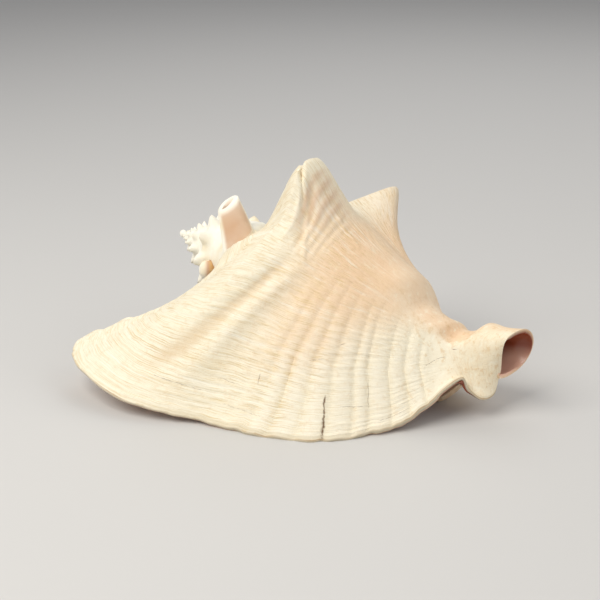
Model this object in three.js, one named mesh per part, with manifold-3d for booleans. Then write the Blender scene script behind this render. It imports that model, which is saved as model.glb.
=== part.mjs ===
// A queen conch shell lying on its mouth: spire towards -X, canal towards +X, flared lip towards -Y.
// It grew as one piece, so it is one solid: coiled inner whorls, and the thin last whorl round them.
import * as THREE from "three";
import Module from "manifold-3d";

const wasm = await Module();
wasm.setup();

// Driving dimensions, in millimetres and degrees
const LENGTH = 197; // apex to canal end, along the coiling axis
const APEX = new THREE.Vector3(-98.5, 0, 66);
const CANAL_END = new THREE.Vector3(98.5, 0, 31);
const WHORL_GROWTH = 1.7; // how much larger each turn of the spire is than the one before
const SPIRE_TURNS = 5; // turns before the shoulder table starts
const WALL = 3.4; // wall of the last whorl
const EDGE_WALL = 2.6; // wall at the lip's margin
const CANAL_RADIUS = 12.5;
const CANAL_SLANT = 5; // how far the canal's rim is cut back on its front side
const COLUMELLA_RADIUS = 8;
const COLUMELLA_END = 186; // distance from the apex
const COLUMELLA_SHIFT = 5; // off the axis, towards the back of the canal
const ROOT = [1.5, 5]; // depth of the last whorl's edge in the whorl before it: on the coil, on the lip
const CORE_SKIN = 0.4; // the inner whorls stay this far under the last whorl where the two overlap
const OVERLAP = 10; // angle over which the last whorl starts inside the inner whorls
const EXPOSED = 1.25; // a whorl shows down to this multiple of its shoulder's distance from the apex
const SUTURE_DROP = 0.17; // the last whorl shows more of the whorl before it on top
const SUTURE_CLIMB = 0.45; // and climbs towards the apex again in front
const SUTURE_RADIUS = 0.97; // of the shoulder's radius
const RAMP_HOLLOW = 0.06; // of the shoulder's radius
const SHOULDER_T = 0.25; // share of a growth line from the suture to the shoulder

// The growth angle runs from the back, over the top at 0, to the front at 90, and on into the lip.
const CORE_END = -200; // the solid inner whorls end here, and the hollow last whorl starts
const LIP_START = [60, 25]; // the last whorl starts to flare here: at the suture, elsewhere
const LIP_END = 125; // growth angle given to the lip's margin

// Shoulder of the last two turns: growth angle, distance from the apex along the axis, radius
const SHOULDER = [
  [-360, 36.5, 27],
  [-270, 47, 33],
  [-180, 62, 40],
  [-90, 77, 43.5],
  [-45, 83, 44],
  [8, 80, 46],
  [40, 72, 48],
  [60, 68, 49],
];
// Last whorl from shoulder to canal: share of the way, share of the shoulder's radius that is left
const BODY_TAPER = [
  [0, 1],
  [0.1, 0.93],
  [0.2, 0.78],
  [0.38, 0.54],
  [0.57, 0.35],
  [0.72, 0.26],
  [0.8, 0.2],
  [0.9, 0.02],
  [1, 0],
];
// How far the canal bends off the axis, upwards: distance from the apex, lift
const CANAL_LIFT = [
  [0, 0],
  [100, 0],
  [130, -4],
  [150, -11],
  [168, -19],
  [182, -5],
  [200, -2],
];
// Lip margin from the suture, round the wing tip and the front, past the notch to the canal:
// share of the growth line, x, y, z
const MARGIN = [
  [0, -61, -14, 52],
  [0.02, -67.7, -19.5, 48],
  [0.05, -83.2, -40.7, 41],
  [0.1, -95.3, -51.6, 34],
  [0.14, -109.7, -63.8, 27],
  [0.16, -121.5, -70, 22.3],
  [0.18, -120.5, -76, 18.5],
  [0.21, -104, -88.1, 13],
  [0.24, -82, -94.3, 8],
  [0.28, -58.6, -93.1, 4.5],
  [0.35, -33.9, -85.6, 2],
  [0.43, -4.8, -82.6, 0.5],
  [0.5, 22.3, -75.4, 0],
  [0.54, 34.4, -67.2, 0.3],
  [0.6, 47.2, -54.6, 2],
  [0.66, 56.4, -45.6, 4.5],
  [0.72, 65.7, -34.2, 12],
  [0.77, 71, -27.3, 19],
  [0.82, 77.6, -19, 23],
  [0.86, 81.4, -15.6, 17],
  [0.91, 86.8, -13.9, 12],
  [0.96, 90.2, -6.2, 15],
  [1, 91, -1, 20],
];
const FLARE = [1.1, 0.5]; // steepness at the lip's margin against the way there: at the suture, elsewhere
const LIP_PULL = [0.85, 0.75]; // how far the lip keeps its direction at the whorl and at the margin
const WING_PULL = 0.7; // the same at the whorl for the lip's rear edge, which is nearly straight

// Shoulder spines of the last whorl: growth angle, reach, lean towards the apex, half width in degrees,
// and how far they run down the whorl, as a share of the growth line
const SPINES = [
  [8, 27, 5, 21, 0.11],
  [-48, 27, -19, 18, 0.15],
  [-100, 19, -4, 16, 0.11],
  [-148, 27, -4, 16, 0.1],
  [-182, 10, 0, 13, 0.09],
];
// Knobs of the spire, one after another back from the largest, which stands clear of the last whorl
const KNOB_FIRST = -344;
const KNOB_STEP = 40;
const KNOB_REACH = [0.46, 0.21]; // of the shoulder's radius: the largest, and the others
// Folds that fan out over the lip: share of the growth line where they start and end, and their step
const FOLD_START = 0.36;
const FOLD_END = 0.72;
const FOLD_STEP = 0.036;
const FOLD_HEIGHT = 1.3;
const SWELL = [9, 5]; // how far the lip's rear edge swells near the spire and hollows near the wing

const AXIS = CANAL_END.clone().sub(APEX).normalize();
const FRONT = new THREE.Vector3(0, -1, 0);
const UP = new THREE.Vector3().crossVectors(FRONT, AXIS).normalize();
const radians = THREE.MathUtils.degToRad;
const clamp = THREE.MathUtils.clamp;
const lerp = THREE.MathUtils.lerp;
const smooth = (from, to, x) => THREE.MathUtils.smoothstep(x, from, to);

// Cubic curve from p to q with the given slopes, at the share s of the way
function hermite(p, slopeP, q, slopeQ, s) {
  const s2 = s * s;
  const s3 = s2 * s;
  const fromP = p * (2 * s3 - 3 * s2 + 1) + slopeP * (s3 - 2 * s2 + s);
  const fromQ = q * (3 * s2 - 2 * s3) + slopeQ * (s3 - s2);
  return fromP + fromQ;
}

// Smooth curve through the rows of a table, read at x: the first column is x, the rest are values.
function along(table, x) {
  const last = table.length - 1;
  let i = 0;
  while (i < last - 1 && x > table[i + 1][0]) i += 1;
  const a = table[i];
  const b = table[i + 1];
  const before = table[Math.max(i - 1, 0)];
  const after = table[Math.min(i + 2, last)];
  const span = b[0] - a[0];
  const s = clamp((x - a[0]) / span, 0, 1);
  const valueAt = (c) => {
    const slopeA = ((b[c] - before[c]) / (b[0] - before[0])) * span;
    const slopeB = ((after[c] - a[c]) / (after[0] - a[0])) * span;
    return hermite(a[c], slopeA, b[c], slopeB, s);
  };
  return a.slice(1).map((_, k) => valueAt(k + 1));
}

// A point from its distance along the axis, radius and growth angle
function place(h, radius, angle) {
  const a = radians(angle);
  const lift = along(CANAL_LIFT, h)[0];
  return APEX.clone()
    .addScaledVector(AXIS, h)
    .addScaledVector(UP, radius * Math.cos(a) + lift)
    .addScaledVector(FRONT, radius * Math.sin(a));
}

// Shoulder's distance from the apex and radius at a growth angle
function shoulder(angle) {
  const [first, h, radius] = SHOULDER[0];
  if (angle >= first) return along(SHOULDER, angle);
  const share = WHORL_GROWTH ** ((angle - first) / 360);
  return [h * share, radius * share];
}

// Suture, where a whorl meets the one before it, just below that one's shoulder
function suture(angle) {
  const [h, radius] = shoulder(angle - 360);
  const exposed = EXPOSED + SUTURE_DROP * smooth(-90, 0, angle) - SUTURE_CLIMB * smooth(5, 55, angle);
  return [h * exposed, radius * SUTURE_RADIUS];
}

// A whorl's ramp from the suture to the shoulder, slightly hollow
function ramp(share, angle) {
  const [h, radius] = shoulder(angle);
  const [sutureH, sutureRadius] = suture(angle);
  const hollow = RAMP_HOLLOW * radius * Math.sin(Math.PI * share);
  return [lerp(sutureH, h, share), lerp(sutureRadius, radius, share) - hollow];
}

// Distance from the apex of the canal's slanted rim
const rim = (angle) => LENGTH - CANAL_SLANT * Math.sin(radians(angle));

// Radius of the last whorl in front of its shoulder, at a distance from the apex
function bodyRadius(h, angle) {
  const [shoulderH, radius] = shoulder(angle);
  const share = (h - shoulderH) / (rim(angle) - shoulderH);
  return lerp(CANAL_RADIUS, radius, along(BODY_TAPER, share)[0]);
}

// The last whorl's coil at growth angle and share t of the growth line, from the suture to the canal
function coil(t, angle) {
  const sunk = ROOT[0] * (1 - smooth(CORE_END - OVERLAP, CORE_END, angle));
  if (t < SHOULDER_T) {
    const [h, radius] = ramp(t / SHOULDER_T, angle);
    const root = lerp(...ROOT, smooth(0, 40, angle)) * (1 - t / SHOULDER_T);
    return place(h, radius - root - sunk, angle);
  }
  const h = lerp(shoulder(angle)[0], rim(angle), (t - SHOULDER_T) / (1 - SHOULDER_T));
  return place(h, bodyRadius(h, angle) - sunk, angle);
}

// The last whorl without its spines: the coil, then a flare from the coil to the lip's margin
function whorl(t, angle) {
  const from = lerp(...LIP_START, smooth(0, 0.2, t));
  if (angle <= from) return coil(t, angle);
  const start = coil(t, from);
  const end = new THREE.Vector3(...along(MARGIN, t));
  const chord = end.clone().sub(start);
  const reach = chord.length();
  const pull = lerp(WING_PULL, LIP_PULL[0], smooth(0.05, 0.4, t));
  const leaving = start.clone().sub(coil(t, from - 1)).setLength(reach * pull);
  const flare = lerp(...FLARE, smooth(0, 0.16, t));
  const arriving = new THREE.Vector3(chord.x, chord.y, chord.z * flare).setLength(reach * LIP_PULL[1]);
  const s = (angle - from) / (LIP_END - from);
  const on = (k) => hermite(start[k], leaving[k], end[k], arriving[k], s);
  return new THREE.Vector3(on("x"), on("y"), on("z")).addScaledVector(UP, swell(t, angle));
}

// Outward direction of the last whorl
function outward(t, angle) {
  const alongLine = whorl(Math.min(t + 0.004, 1), angle).sub(whorl(Math.max(t - 0.004, 0), angle));
  const later = Math.min(angle + 1, LIP_END);
  const alongGrowth = whorl(t, later).sub(whorl(t, later - 2));
  return new THREE.Vector3().crossVectors(alongGrowth, alongLine).normalize();
}

// What the shoulder spines add to the last whorl
function spines(t, angle) {
  const added = new THREE.Vector3();
  const rampSide = smooth(0, SHOULDER_T, t) ** 1.3;
  for (const [at, reach, lean, width, run] of SPINES) {
    const bodySide = Math.exp(-((Math.max(t - SHOULDER_T, 0) / run) ** 1.6));
    const height = rampSide * bodySide * Math.exp(-(Math.abs((angle - at) / width) ** 2));
    added.addScaledVector(UP, reach * height * Math.cos(radians(at)));
    added.addScaledVector(FRONT, reach * height * Math.sin(radians(at)));
    added.addScaledVector(AXIS, -lean * height);
  }
  return added;
}

// The lip's rear edge swells over the whorl before it, then hollows towards the wing
function swell(t, angle) {
  const share = clamp((angle - LIP_START[1]) / (LIP_END - LIP_START[1]), 0, 1);
  const across = smooth(0, 0.1, t) * (1 - smooth(0.12, 0.26, t));
  const wave = Math.sin(2 * Math.PI * share ** 0.65);
  return across * wave * (wave > 0 ? SWELL[0] : SWELL[1]);
}

// Height of the lip's folds, which grow towards the margin
function folds(t, angle) {
  if (t < FOLD_START || t > FOLD_END) return 0;
  const phase = (2 * Math.PI * (t - FOLD_START)) / FOLD_STEP;
  const wave = Math.sin(phase + 0.7 * Math.sin(0.37 * phase)) * (0.65 + 0.35 * Math.sin(0.61 * phase));
  const ends = smooth(FOLD_START, FOLD_START + 0.1, t) * (1 - smooth(FOLD_END - 0.06, FOLD_END, t));
  return FOLD_HEIGHT * wave * ends * smooth(LIP_START[1] + 25, LIP_END - 10, angle);
}

function outerSkin(t, angle) {
  return whorl(t, angle).addScaledVector(outward(t, angle), folds(t, angle)).add(spines(t, angle));
}

function innerSkin(t, angle) {
  const nearEdge = Math.max(smooth(LIP_END - 25, LIP_END, angle), 1 - smooth(0, 0.15, t));
  const wall = lerp(WALL, EDGE_WALL, nearEdge);
  return whorl(t, angle).addScaledVector(outward(t, angle), -wall);
}

// A closed solid from points and index triples
function solidOf(points, triangles) {
  const vertProperties = new Float32Array(points.flatMap((p) => [p.x, p.y, p.z]));
  const triVerts = new Uint32Array(triangles.flat());
  return new wasm.Manifold(new wasm.Mesh({ numProp: 3, vertProperties, triVerts }));
}

// Numbers from a start to an end in equal steps, without the end
function steps(from, to, count) {
  return Array.from({ length: count }, (_, k) => lerp(from, to, k / count));
}

// The hollow last whorl: a fine outer skin and an inner skin of half as many steps, joined at the edges
function lastWhorl() {
  const coiled = steps(CORE_END - OVERLAP, LIP_START[1], 20);
  const lines = [...coiled, ...steps(LIP_START[1], LIP_END, 14), LIP_END];
  const folded = steps(FOLD_START, FOLD_END, 4 * Math.round((FOLD_END - FOLD_START) / FOLD_STEP));
  const shares = [...steps(0, FOLD_START, 18), ...folded, ...steps(FOLD_END, 1, 10), 1];
  const coarse = (list) => list.filter((_, k) => k % 2 === 0);
  const points = [];
  const grid = (skin, angles, ts) => {
    const first = points.length;
    for (const angle of angles) points.push(...ts.map((t) => skin(t, angle)));
    return (j, i) => first + j * ts.length + i;
  };
  const outer = grid(outerSkin, lines, shares);
  const inner = grid(innerSkin, coarse(lines), coarse(shares));
  const lastLine = lines.length - 1;
  const lastShare = shares.length - 1;
  const triangles = [
    ...skinFaces(lastLine, lastShare, outer),
    ...skinFaces(lastShare / 2, lastLine / 2, (i, j) => inner(j, i)),
  ];
  for (let j = 0; j < lastLine; j += 2) {
    const along0 = [outer(j + 2, 0), outer(j + 1, 0), outer(j, 0)];
    const alongEnd = [outer(j, lastShare), outer(j + 1, lastShare), outer(j + 2, lastShare)];
    const half = j / 2;
    triangles.push(...edgeFaces(along0, [inner(half + 1, 0), inner(half, 0)]));
    triangles.push(...edgeFaces(alongEnd, [inner(half, lastShare / 2), inner(half + 1, lastShare / 2)]));
  }
  for (let i = 0; i < lastShare; i += 2) {
    const first = [outer(0, i), outer(0, i + 1), outer(0, i + 2)];
    const margin = [outer(lastLine, i + 2), outer(lastLine, i + 1), outer(lastLine, i)];
    const half = i / 2;
    triangles.push(...edgeFaces(first, [inner(0, half), inner(0, half + 1)]));
    triangles.push(...edgeFaces(margin, [inner(lastLine / 2, half + 1), inner(lastLine / 2, half)]));
  }
  return solidOf(points, triangles);
}

// Triangles of a grid of points with the given numbers of steps
function skinFaces(across, down, id) {
  const triangles = [];
  for (let j = 0; j < across; j += 1) {
    for (let i = 0; i < down; i += 1) {
      triangles.push([id(j, i), id(j + 1, i), id(j + 1, i + 1)]);
      triangles.push([id(j, i), id(j + 1, i + 1), id(j, i + 1)]);
    }
  }
  return triangles;
}

// Triangles that join two steps of the outer skin to one step of the inner skin
function edgeFaces([a, b, c], [d, e]) {
  return [
    [a, b, d],
    [b, e, d],
    [b, c, e],
  ];
}

// Height of the spire's knobs on the shoulder
function knob(angle) {
  const [, radius] = shoulder(angle);
  const number = Math.round((KNOB_FIRST - angle) / KNOB_STEP);
  if (number < 0) return 0;
  const off = (angle - KNOB_FIRST + number * KNOB_STEP) / KNOB_STEP;
  const reach = KNOB_REACH[number === 0 ? 0 : 1];
  return reach * radius * Math.min(1, 1.35 * Math.cos(Math.PI * off) ** 2);
}

// The columella's surface, or a whorl's side above it: share 0 is a whorl's lower edge, 1 is the end
function columella(share, angle) {
  const [h, radius] = shoulder(angle);
  const height = lerp(h * EXPOSED, COLUMELLA_END, share);
  const slim = lerp(COLUMELLA_RADIUS, radius * SUTURE_RADIUS, (1 - share) ** 1.7);
  const meeting = smooth(CORE_END - 90, CORE_END - 12, angle);
  const width = lerp(slim, bodyRadius(height, angle), meeting) - CORE_SKIN;
  const shift = COLUMELLA_SHIFT * smooth(0.3, 1, share) * (1 - meeting);
  return place(height, share === 1 ? 0 : width, angle)
    .addScaledVector(UP, -0.6 * shift)
    .addScaledVector(FRONT, -0.8 * shift);
}

// A whorl's ramp, shoulder, side and lower edge at a growth angle
function whorlSide(angle) {
  const [h, radius] = shoulder(angle);
  const [midH, midRadius] = ramp(0.5, angle);
  const height = knob(angle);
  return [
    place(midH, midRadius + 0.4 * height, angle),
    place(h - 0.4 * height, radius + height - CORE_SKIN, angle),
    place(h * 1.1, radius + 0.5 * height - CORE_SKIN, angle),
    columella(0, angle),
  ];
}

// The solid inner whorls: columns of points from suture to suture, coiling on from the apex. The last
// turn's columns go on along the columella to its end, and a wall closes the step where they stop.
function innerWhorls() {
  const perTurn = 45;
  const columns = SPIRE_TURNS * perTurn + Math.round(((CORE_END + 360) / 360) * perTurn);
  const whorlRows = 4;
  const columellaRows = 7;
  const points = [];
  const add = (p) => points.push(p) - 1;
  const apex = add(place(0, 0, 0));
  const tip = add(columella(1, CORE_END));
  const rows = [];
  for (let k = 0; k <= columns; k += 1) {
    const angle = CORE_END - ((columns - k) * 360) / perTurn;
    const top = k < perTurn ? add(place(...suture(angle), angle)) : rows[k - perTurn][whorlRows];
    const column = [top, ...whorlSide(angle).map(add)];
    if (k >= columns - perTurn) {
      const shares = steps(0, 1, columellaRows).slice(1);
      column.push(...shares.map((share) => add(columella(share, angle))), tip);
    }
    rows.push(column);
  }
  const triangles = [];
  for (let k = 0; k < columns; k += 1) {
    const last = Math.min(rows[k].length, rows[k + 1].length) - 1;
    triangles.push(...skinFaces(1, last, (j, i) => rows[k + j][i]));
  }
  for (let k = 0; k < perTurn; k += 1) triangles.push([apex, rows[k + 1][0], rows[k][0]]);
  for (let j = 0; j < whorlRows; j += 1) triangles.push([apex, rows[0][j], rows[0][j + 1]]);
  triangles.push(...stepFaces(rows[columns], rows[columns - perTurn].slice(whorlRows)));
  const whole = triangles.filter(([a, b, c]) => a !== b && b !== c && c !== a);
  return solidOf(points, whole);
}

// Triangles between the ends of two neighbouring turns, which share their first and last points
function stepFaces(outer, inner) {
  const triangles = [];
  let i = 0;
  for (let j = 0; j < outer.length - 1; j += 1) {
    triangles.push([outer[j + 1], outer[j], inner[i]]);
    const wanted = Math.round(((j + 1) / (outer.length - 1)) * (inner.length - 1));
    for (; i < wanted; i += 1) triangles.push([outer[j + 1], inner[i], inner[i + 1]]);
  }
  return triangles;
}

// One solid, trimmed flat where it stands on the table, with its origin at the centre of its base
const whole = lastWhorl().add(innerWhorls()).trimByPlane([0, 0, 1], 0);
const bounds = whole.boundingBox();
const shell = whole.translate(
  -(bounds.min[0] + bounds.max[0]) / 2,
  -(bounds.min[1] + bounds.max[1]) / 2,
  -bounds.min[2],
);
const { vertProperties, triVerts } = shell.getMesh();
const geometry = new THREE.BufferGeometry();
geometry.setAttribute("position", new THREE.BufferAttribute(new Float32Array(vertProperties), 3));
geometry.setIndex(new THREE.BufferAttribute(new Uint32Array(triVerts), 1));
const mesh = new THREE.Mesh(
  geometry,
  new THREE.MeshStandardMaterial({ color: 0xf2dcc0, roughness: 0.7, metalness: 0 }),
);
mesh.name = "conch_shell";
const group = new THREE.Group();
group.add(mesh);
export default group;
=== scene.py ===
import math
from types import SimpleNamespace

import bpy
import numpy as np
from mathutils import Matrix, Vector
from mathutils.kdtree import KDTree


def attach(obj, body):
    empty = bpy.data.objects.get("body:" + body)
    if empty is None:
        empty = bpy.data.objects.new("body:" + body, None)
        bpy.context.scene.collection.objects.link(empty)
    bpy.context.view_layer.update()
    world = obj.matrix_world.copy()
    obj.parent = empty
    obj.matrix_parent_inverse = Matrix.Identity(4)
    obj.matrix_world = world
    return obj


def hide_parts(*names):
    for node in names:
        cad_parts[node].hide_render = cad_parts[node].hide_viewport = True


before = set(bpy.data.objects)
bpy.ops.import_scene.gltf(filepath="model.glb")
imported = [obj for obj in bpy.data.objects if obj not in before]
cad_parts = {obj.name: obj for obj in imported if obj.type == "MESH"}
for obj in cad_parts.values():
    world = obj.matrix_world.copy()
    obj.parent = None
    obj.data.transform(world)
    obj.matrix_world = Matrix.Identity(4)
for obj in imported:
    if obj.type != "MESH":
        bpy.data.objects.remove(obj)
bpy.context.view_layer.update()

# The shell's measures are in millimetres and degrees. It coils about the line from the apex to the canal's
# end. The growth angle goes round that line: 0 is on top, 90 in front, and a turn is 360. A growth line
# crosses the whorl at one growth angle, and t is the share of it, from the suture over the shoulder on.

# Coil
APEX = np.array([-98.5, 0.0, 66.0])
CANAL_END = np.array([98.5, 0.0, 31.0])
SHIFT = np.array([10.93, 17.94, 0.0])  # from the coil's coordinates to the shared frame
LENGTH = 198.0  # from the apex to the canal's rim, along the axis
WHORL_GROWTH = 1.7  # how much larger each turn of the spire is than the one before
SPIRE_TURNS = 5  # turns before the shoulder table starts
WALL = 3.4  # wall of the last whorl
EDGE_WALL = 2.6  # wall at the lip's margin
RIM_WALL = 0.6  # share of the wall that is left at the canal's rim
CANAL_RADIUS = 13.3
CANAL_SLANT = 6.0  # how far the canal's rim is cut back on its front side
COLUMELLA_RADIUS = 8.0
COLUMELLA_END = 186.0  # distance from the apex
COLUMELLA_SHIFT = 5.0  # off the axis, downwards and backwards
COLUMELLA_SIDE = (0.6, 0.8)  # shares of the shift downwards and backwards
ROOT = (1.5, 5.0)  # depth of the last whorl's edge in the whorl before it: on the coil, on the lip
CORE_SKIN = 0.4  # the inner whorls stay this far under the last whorl where the two overlap
OVERLAP = 10.0  # angle over which the last whorl starts inside the inner whorls
EXPOSED = 1.25  # a whorl shows down to this multiple of its shoulder's distance from the apex
SUTURE_DROP = 0.17  # the last whorl shows more of the whorl before it on top
SUTURE_CLIMB = 0.45  # and climbs towards the apex again in front
SUTURE_RADIUS = 0.97  # of the shoulder's radius
RAMP_HOLLOW = 0.06  # of the shoulder's radius
SHOULDER_T = 0.25  # share of a growth line from the suture to the shoulder
CORE_END = -200.0  # the solid inner whorls end here, and the hollow last whorl starts
DENT = (9.0, -368.0, 42.0)  # dip behind the broken spine: depth, growth angle, half width
SUTURE_DENT = 0.55  # share of the dip's depth that is left at the suture
# Shoulder of the last two turns: growth angle, distance from the apex along the axis, radius
SHOULDER = [
    (-360, 36.5, 27),
    (-270, 47, 33),
    (-180, 62, 40),
    (-90, 77, 43.5),
    (-45, 83, 44),
    (8, 80, 46),
    (40, 72, 48),
    (60, 68, 49),
]
# Last whorl from shoulder to canal: share of the way, share of the shoulder's radius that is left
BODY_TAPER = [
    (0, 1),
    (0.1, 0.93),
    (0.2, 0.78),
    (0.38, 0.54),
    (0.57, 0.35),
    (0.72, 0.26),
    (0.8, 0.2),
    (0.9, 0.02),
    (1, 0),
]
# How far the canal bends off the axis, upwards: distance from the apex, lift
CANAL_LIFT = [(0, 0), (100, 0), (130, -4), (150, -11), (168, -19), (182, -5), (200, 2)]

# Lip
LIP_START = (60.0, 25.0)  # the last whorl starts to flare here: at the suture, elsewhere
LIP_END = 125.0  # growth angle given to the lip's margin
EDGE_ROUNDING = 1.4  # degrees of growth that the rounding of the margin takes up
EDGE_TURNS = (25, 45, 65, 85)  # degrees turned at the rows of points round the margin
# Margin from the suture, round the wing tip and the front, past the notch to the canal: t, x, y, z
MARGIN = [
    (0, -120.6, -67.8, 22.8),
    (0.06, -121.4, -70, 22.2),
    (0.12, -121.2, -72.6, 20.7),
    (0.16, -120, -75.6, 18.9),
    (0.18, -116.8, -79.5, 18.3),
    (0.21, -104, -88.1, 15.6),
    (0.24, -82, -94.3, 10.4),
    (0.28, -58.6, -93.1, 6.6),
    (0.35, -33.9, -85.6, 3),
    (0.43, -4.8, -82.6, 0.5),
    (0.5, 22.3, -75.4, 0),
    (0.54, 34.4, -67.2, 0.3),
    (0.6, 47.2, -54.6, 2),
    (0.66, 56.4, -45.6, 4.5),
    (0.72, 65.7, -34.2, 12),
    (0.77, 71, -27.3, 19),
    (0.82, 77.6, -19, 23.6),
    (0.86, 80.6, -15.8, 16.6),
    (0.91, 86.8, -13.9, 12),
    (0.96, 91, -7.6, 12.8),
    (1, 91, -1, 20),
]
FLARE = (1.1, 0.5)  # steepness at the lip's margin against the way there: at the suture, elsewhere
LIP_PULL = (0.85, 0.75)  # how far the lip keeps its direction at the whorl and at the margin
WING_PULL = 0.7  # the same at the whorl for the lip's rear edge, which is nearly straight
# Swelling and hollow of the rear edge: height, share of the way from the whorl to the margin, half width
SWELL = [(6.0, 0.135, 0.06), (-8.5, 0.4, 0.28)]
SCALLOP_HEIGHT = 1.5  # of the small waves along the rear edge
SCALLOP_LENGTH = 2.3  # degrees of growth for each radian of a wave
# Waves of the worn margin: height, length as a share of the margin, phase
EDGE_WAVES = [(0.25, 0.061, 1), (0.15, 0.0273, 0)]
# Chips in the margin: depth, t, half width
CHIPS = [(0.5, 0.405, 0.008), (0.8, 0.512, 0.005), (0.6, 0.59, 0.009), (0.4, 0.3, 0.007)]

# Spines, knobs and folds
# Growth angle, reach, lean towards the apex, half width in degrees, run down the whorl, where its
# rise starts and ends on the ramp, and how blunt it is across and along the whorl
SPINES = [
    (6.6, 23.1, 5.1, 19.3, 0.082, 0.0, 0.231, 4.0, 1.75),
    (-53.2, 27.8, -17.3, 15.4, 0.142, 0.039, 0.261, 3.4, 1.3),
    (-100, 19, -4, 15, 0.11, 0.02, 0.25, 2.6, 1.6),
    (-148, 26, -4, 15, 0.1, 0.02, 0.25, 2.6, 1.6),
    (-182, 10, 0, 13, 0.09, 0.0, 0.25, 2.2, 1.6),
]
# Knobs of the spire, one after another back from the largest turn
KNOB_FIRST = -344.0
KNOB_STEP = 40.0
LOW_KNOBS = 2  # the first ones hardly rise beside the broken spine
KNOB_REACH = (0.03, 0.25)  # of the shoulder's radius: the low knobs, and the others
KNOB_LEAN = 0.4  # towards the apex, as a share of the knob's height
# Valleys between the lip's folds: t at the margin
VALLEYS = (0.345, 0.38, 0.412, 0.444, 0.478, 0.514, 0.556, 0.584, 0.64, 0.682, 0.722, 0.76)
FOLD_SLANT = 0.001  # change of t for each degree of growth
FOLD_STRAIGHT = 85  # the folds run straight from this growth angle on
FOLD_HEIGHT = 1.5
FOLD_ROUNDNESS = 0.7  # a lower value makes them blunter

# Relief
# Course of the broad hollow from the main spine to the wing: growth angle, t
WING_COURSE = [(50, 0.336), (64, 0.306), (74, 0.283), (84, 0.264), (95, 0.252), (105, 0.242)]
WING_REACH = (38, 62, 92, 116)  # growth angles where it starts, is full, fades and ends
# The hollow, the ridge beside it and a shallower hollow: height, distance in t from the course, half width
WING_ROLLS = [(-1.7, 0, 0.018), (0.9, 0.04, 0.015), (-0.7, 0.082, 0.024)]
# Ribs and a hollow below the main spine's tip: height, t, the growth angle there, change of t for each
# degree, half width, and the growth angles where it starts, is full, fades and ends
TIP_RIBS = [
    (1.1, 0.274, 22, 0.001, 0.008, (14, 21, 34, 46)),
    (-1.6, 0.302, 20, 0.0016, 0.014, (14, 21, 34, 46)),
    (0.8, 0.315, 28, 0.0037, 0.007, (22, 28, 38, 52)),
]
SIDE_RIB = (0.7, 14, 0.375, 46, 1.5)  # height, growth angle, t there, degrees for each unit of t, half width
SIDE_RIB_REACH = (0.345, 0.375, 0.43, 0.48)  # t where it starts, is full, fades and ends
CREASE_AT = (18.3, 0.258)  # growth angle and t of the crease beside the main spine's tip
CREASE_SLANT = 230  # degrees for each unit of t
CREASE_DEPTH = 1.8
CREASE_WIDTH = 1.6  # half width, in degrees
CREASE_REACH = (0.215, 0.24, 0.276, 0.296)
LOBE_HEIGHT = 0.6  # of the swelling in front of the crease
DOME_HEIGHT = 0.5  # of the swelling behind it
FAN_STEP = 0.021  # from one fine rib below the tip to the next, in t
FAN_SLANT = 0.0006  # change of t for each degree
FAN_HEIGHT = 0.22
# Waists of the canal's neck, and ledges, which stand out: depth, t, half width
NECK_ROLLS = [(2.4, 0.7, 0.036), (2.3, 0.84, 0.034), (-1.6, 0.61, 0.04), (-2.2, 0.774, 0.024)]
NECK_REACH = (-120, -60, 10, 50)
RIPPLE_HEIGHT = (0.07, 0.05)  # of the low growth steps: on average, and how much that changes

# Stump of a broken spine
STUMP_FOOT = (41.0, 21.0, -328.0)  # distance from the apex, radius and growth angle
STUMP_NEAR = 7.5  # how far the foot stands out towards the viewer
STUMP_SQUARENESS = 0.8  # of its outline: 1 is round
STUMP_RISE = (0.6, -0.75)  # slope of its rings to the right and towards the viewer
STUMP_STEPS = 56  # points of each ring
HOLE_WIDTH = 4.9  # rings narrower than this are its rim and the hole
# Rings: offset to the right, height, half width, half depth, skew, share of the tan, which lies on the front
# face of the wide rings and is painted shade, darker further in, on the rings down the hole
STUMP_RINGS = [
    (2.4, -12, 8.8, 7, 0, 1),
    (1, -6, 8.2, 7, 0, 1),
    (0, -2.4, 7.6, 6.4, 0, 1),
    (-2.2, 6, 6.5, 5.4, 0, 1),
    (-4.1, 12.2, 5.7, 4.7, 0, 0.8),
    (-4.6, 14, 5.3, 4.4, 0.2, 0.15),
    (-4.8, 14.7, 4.4, 4.1, 0.5, 0),
    (-4.9, 14.7, 3, 3.9, 1.1, 0),
    (-5, 14.2, 2, 3.7, 1.5, 0.3),
    (-4.6, 11.6, 1.3, 2.9, 1.3, 1),
    (-3.8, 6.5, 0.7, 1.4, 0.6, 1),
]

# Round apex and stained knob: offsets to the right, up and towards the viewer, half width, half height, and
# where the stain starts, as a share of the half width: at 2 there is none
APEX_BEAD = ((1.2, 0.0, 0.0), 2.0, 2.2, 2.0)
STAINED_KNOB_FOOT = np.array([-73.9, -18.2, 68.5])
STAINED_KNOB = ((3.6, -13.4, -3.0), 4.9, 5.6, -0.5)
BEAD_STEPS = 28
BEAD_RINGS = 13

# Rows and columns of points
CORE_TURN_STEPS = 120  # growth lines for each turn of the inner whorls
CORE_RAMP_ROWS = 8
CORE_SIDE_ROWS = 6
CORE_END_ROWS = 26  # along the columella
EASING_ROUNDS = 60

# View and light
AZIMUTH, ELEVATION, DISTANCE = 28, 21, 0.62  # of the camera, in degrees and metres
TARGET = Vector((-0.00027, -0.00476, 0.0496))  # middle of the view, in metres
LENS = 72
SENSOR = 36
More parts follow.
